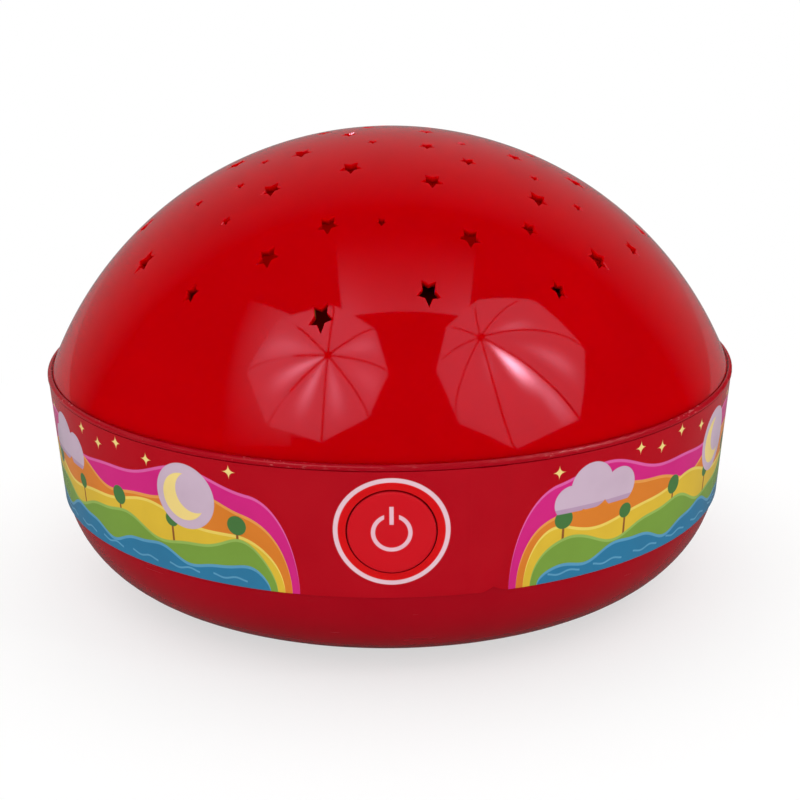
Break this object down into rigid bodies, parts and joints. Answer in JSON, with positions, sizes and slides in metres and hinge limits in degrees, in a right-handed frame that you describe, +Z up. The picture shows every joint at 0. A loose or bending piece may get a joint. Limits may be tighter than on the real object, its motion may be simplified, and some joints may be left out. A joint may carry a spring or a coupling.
{
  "type": "night light projector",
  "caption": "Dome star projector night light: star-holed plastic dome on a bowl-shaped battery base with a label band, push button and hinged battery door.",
  "frame": {"origin": "on the table, under the middle of the base, in the plane of the feet", "axes": "+Z up through the crown of the dome, -Y towards the push button"},
  "size_m": [0.17, 0.17, 0.11],
  "materials": {
    "dome_plastic": "moulded red plastic, polished",
    "base_plastic": "moulded red plastic, polished",
    "label_vinyl": "printed vinyl film, gloss laminate",
    "button_plastic": "moulded red plastic",
    "button_vinyl": "printed vinyl film, gloss laminate",
    "dark_plastic": "moulded black plastic",
    "white_plastic": "moulded white plastic",
    "deck_plastic": "moulded black plastic, matt",
    "circuit_board": "green solder mask",
    "capacitor_can": "aluminium can",
    "led_lens_red": "clear tinted resin",
    "led_lens_green": "clear tinted resin",
    "led_lens_blue": "clear tinted resin",
    "screw_steel": "zinc-plated steel",
    "contact_nickel": "nickel-plated spring steel",
    "cell_sleeve": "printed cell sleeve",
    "lead_red": "insulated wire",
    "lead_black": "insulated wire",
    "foot_rubber": "matt rubber"
  },
  "bodies": {
    "casing": {"star_dome": "dome_plastic", "base_bowl": "base_plastic", "wrap_label": "label_vinyl", "switch_housing": "dark_plastic", "control_board": "circuit_board", "control_chip": "dark_plastic", "capacitor": "capacitor_can", "resistors": "dark_plastic", "battery_socket": "white_plastic", "led_socket": "white_plastic", "deck_plate": "deck_plastic", "lamp_tower": "white_plastic", "lamp_board": "circuit_board", "led_red": "led_lens_red", "led_green": "led_lens_green", "led_blue": "led_lens_blue", "casing_screws": "screw_steel", "deck_screws": "screw_steel", "tower_screws": "screw_steel", "lamp_board_screws": "screw_steel", "battery_cell_1": "cell_sleeve", "battery_cell_2": "cell_sleeve", "battery_cell_3": "cell_sleeve", "contact_minus": "contact_nickel", "contact_plus": "contact_nickel", "contact_bridge_right": "contact_nickel", "contact_bridge_left": "contact_nickel", "battery_lead_red": "lead_red", "battery_lead_black": "lead_black", "led_cable": "lead_black", "foot_right": "foot_rubber", "foot_back": "foot_rubber", "foot_left": "foot_rubber", "foot_front": "foot_rubber"},
    "button": {"button_cap": "button_plastic", "button_film": "button_vinyl", "switch_plunger": "dark_plastic"},
    "battery_door": {"battery_door": "base_plastic"},
    "door_screw": {"door_screw": "screw_steel"}
  },
  "joints": [
    {"name": "button_press", "type": "slide", "parent": "casing", "child": "button", "axis": [0, 1, 0], "range_m": [0, 0.001], "stiffness_N_per_m": 800},
    {"name": "door_hinge", "type": "hinge", "parent": "casing", "child": "battery_door", "pos_m": [0, 0.0265, 0.0025], "axis": [1, 0, 0], "range_deg": [0, 90]},
    {"name": "door_screw_turn", "type": "hinge", "parent": "battery_door", "child": "door_screw", "pos_m": [0, -0.0305, 0.0033], "axis": [0, 0, 1], "continuous": true}
  ]
}
